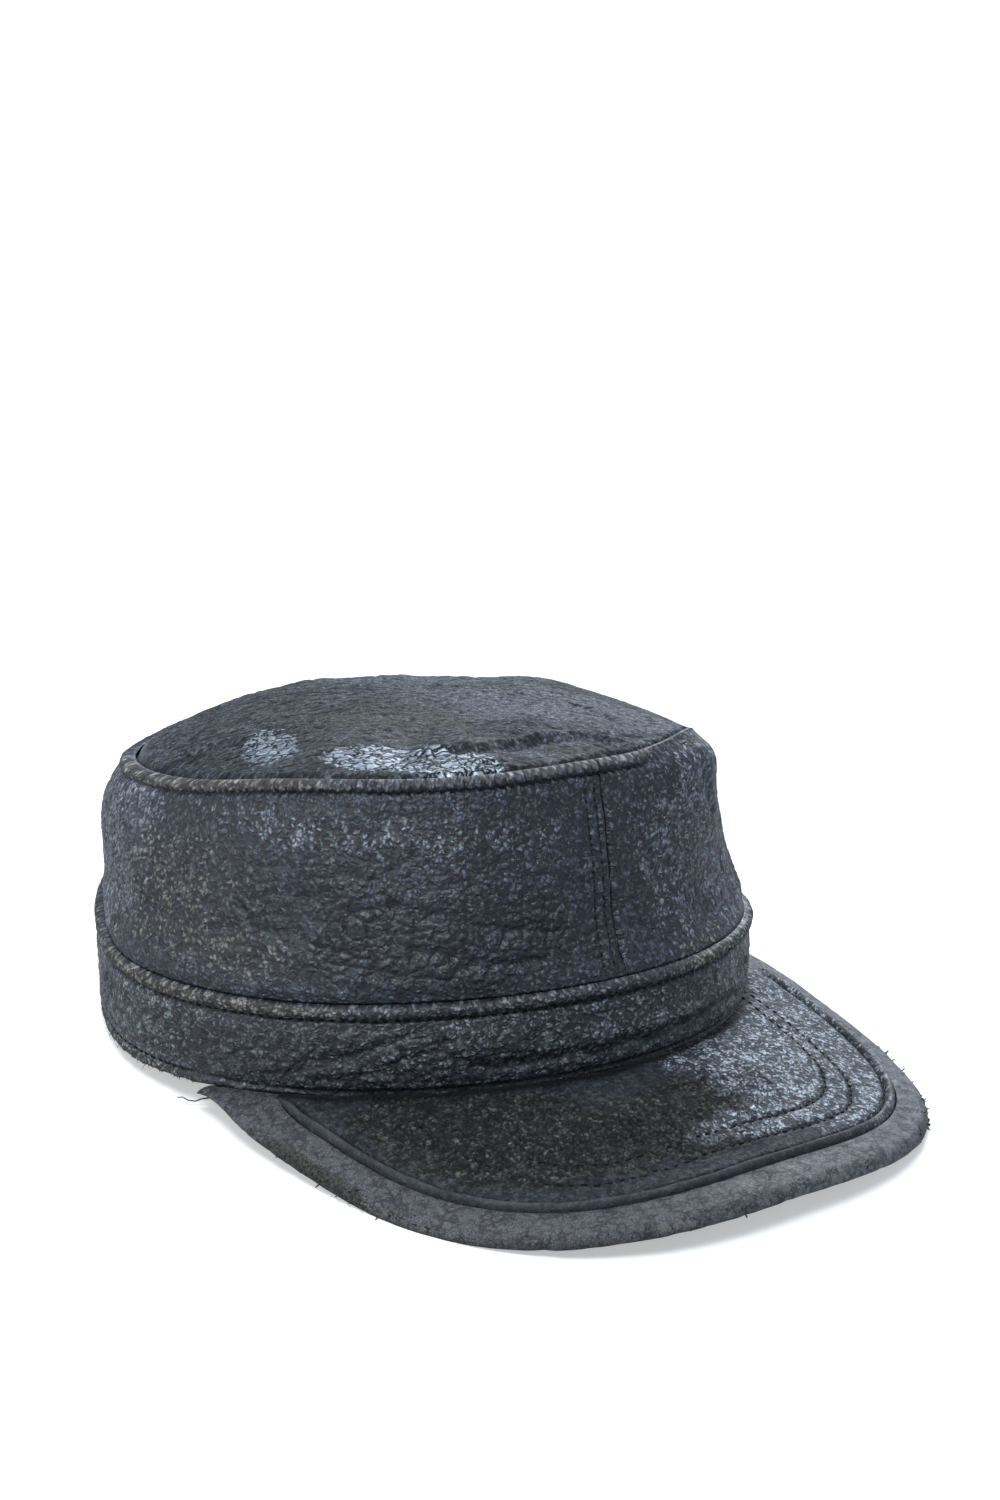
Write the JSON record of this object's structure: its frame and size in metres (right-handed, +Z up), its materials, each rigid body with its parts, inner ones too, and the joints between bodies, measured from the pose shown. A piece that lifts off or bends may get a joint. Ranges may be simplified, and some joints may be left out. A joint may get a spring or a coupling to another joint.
{
  "type": "leather infantry cap",
  "caption": "Worn leather cap with an oval domed tip, upright side panels, a band with a rolled rib and a stitched peak bound with an edge strip.",
  "frame": {"origin": "centre of the footprint, on the surface the cap rests on", "axes": "+Z up, the peak points along -Y, the wearer's left is +X; the cap leans back 5.3 degrees as it lies by itself"},
  "size_m": [0.1963, 0.2585, 0.0979],
  "materials": {
    "black_leather": "worn pebbled grain, semi-matte",
    "abraded_leather": "abraded, cracked, matte with glossy patches",
    "edging_leather": "smooth, worn pale at the rim"
  },
  "bodies": {
    "root": {"crown_tip": "abraded_leather", "side_panel_right": "black_leather", "side_panel_left": "black_leather", "band": "black_leather", "peak_top": "abraded_leather", "peak_edge_strip": "edging_leather", "peak_underside": "black_leather"}
  },
  "joints": []
}
